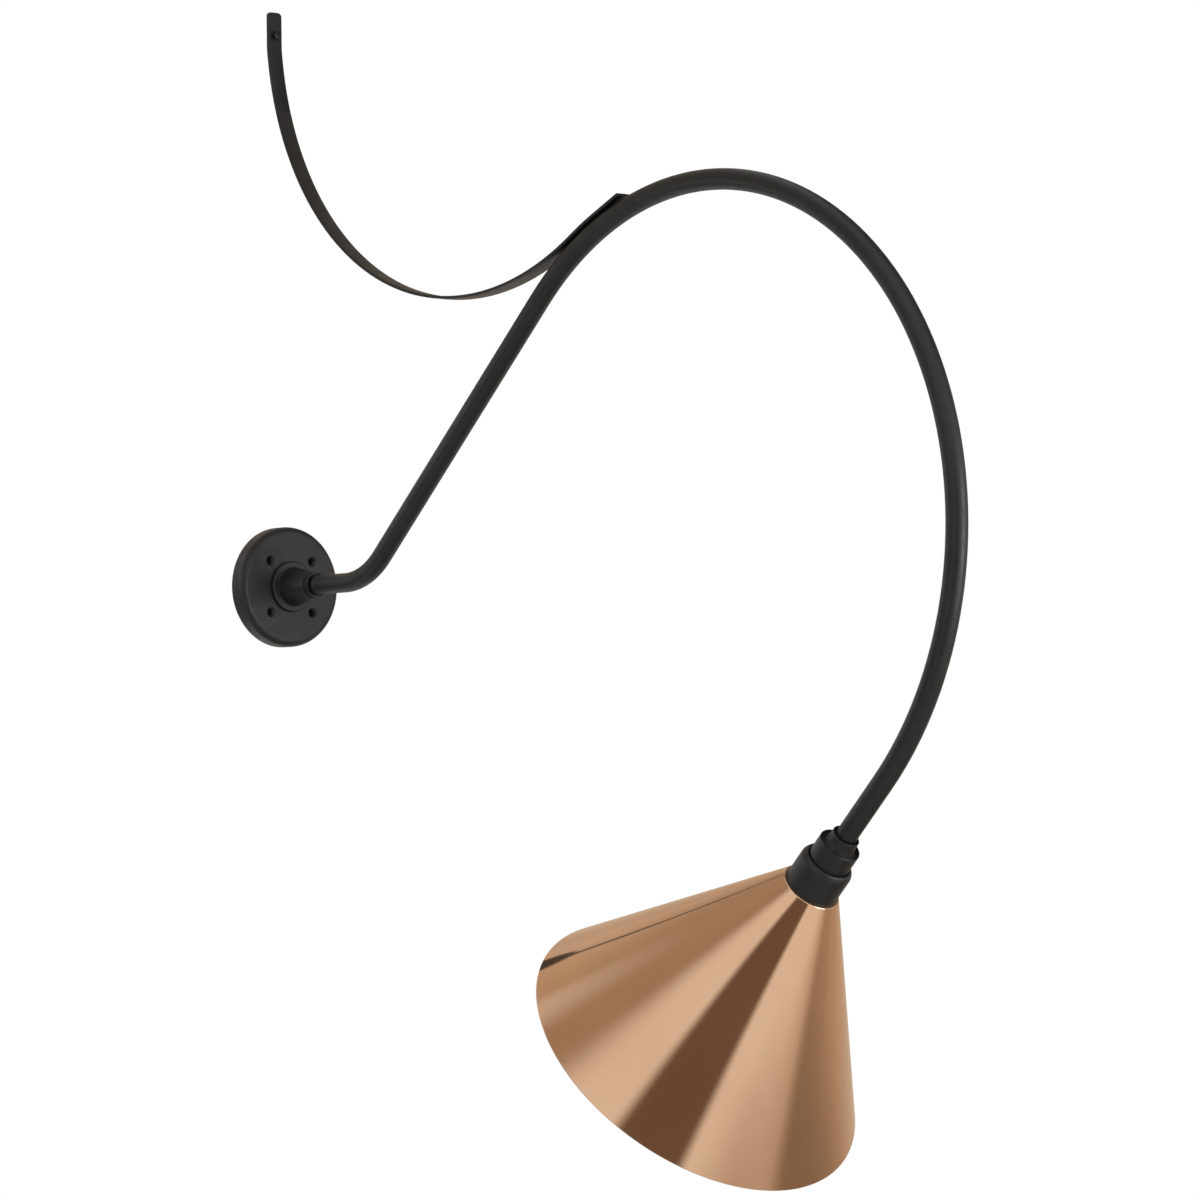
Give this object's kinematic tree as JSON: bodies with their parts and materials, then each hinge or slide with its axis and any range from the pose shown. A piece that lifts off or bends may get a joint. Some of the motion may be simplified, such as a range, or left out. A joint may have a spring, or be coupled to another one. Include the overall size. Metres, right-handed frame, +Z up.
{
  "type": "barn light",
  "caption": "Wall barn light: a round wall plate, a bent gooseneck arm with a strap brace, and a cone shade over a screw lampholder.",
  "frame": {"origin": "centre of the four wall screws, on the plane of the wall behind the wall plate", "axes": "-Y points straight out of the wall along the arm's first run, +Z is up, and the arm, the brace and the shade's axis lie in the plane X = 0"},
  "size_m": [0.3555, 1.0547, 1.261],
  "materials": {
    "black_coat": "satin powder coat",
    "copper_sheet": "brushed copper, clear lacquer",
    "black_steel": "black coated",
    "zinc_steel": "zinc plated",
    "green_steel": "green coated",
    "foam": "closed-cell foam",
    "sealing_rubber": "matte",
    "black_plastic": "matte",
    "connector_plastic": "gloss",
    "live_insulation": "smooth",
    "neutral_insulation": "smooth",
    "bare_copper": "bare wire",
    "brass": "plain",
    "cap_metal": "plain",
    "porcelain": "glazed",
    "black_glass": "gloss",
    "frosted_glass": "frosted inside"
  },
  "bodies": {
    "light": {"wall_gasket": "foam", "wall_plate": "black_coat", "arm_hub": "black_coat", "hub_set_screw": "black_steel", "hub_lock_nut": "zinc_steel", "wire_bushing": "black_plastic", "earth_screw": "green_steel", "earth_wire": "bare_copper", "wire_connectors": "connector_plastic", "live_wire": "live_insulation", "neutral_wire": "neutral_insulation", "gooseneck_arm": "black_coat", "brace_strap": "black_coat", "brace_wall_screw": "black_steel", "brace_arm_screw": "black_steel", "neck_hub": "black_coat", "neck_set_screw": "black_steel", "neck_gasket": "sealing_rubber", "socket_cup": "black_coat", "neck_lock_nut": "zinc_steel", "shade_gasket": "sealing_rubber", "shade": "copper_sheet", "shade_ring": "zinc_steel", "ring_screws": "zinc_steel", "lampholder_bracket": "zinc_steel", "lampholder_body": "porcelain", "lampholder_screws": "zinc_steel", "terminal_screws": "brass", "lampholder_shell": "brass", "centre_contact": "brass"},
    "bulb_contact": {"bulb_tip": "brass", "bulb_insulator": "black_glass"},
    "bulb": {"bulb_cap": "cap_metal", "bulb_globe": "frosted_glass"}
  },
  "joints": [
    {"name": "bulb_travel", "type": "slide", "parent": "light", "child": "bulb_contact", "axis": [0, 0.7071, -0.7071], "range_m": [0, 0.0191]},
    {"name": "bulb_turn", "type": "hinge", "parent": "bulb_contact", "child": "bulb", "pos_m": [0, -0.78983, -0.37735], "axis": [0, 0.7071, -0.7071], "range_deg": [0, 1890]}
  ],
  "couplings": [
    {"joint": "bulb_travel", "follows": "bulb_turn", "m_per_rad": 0.00057754}
  ]
}
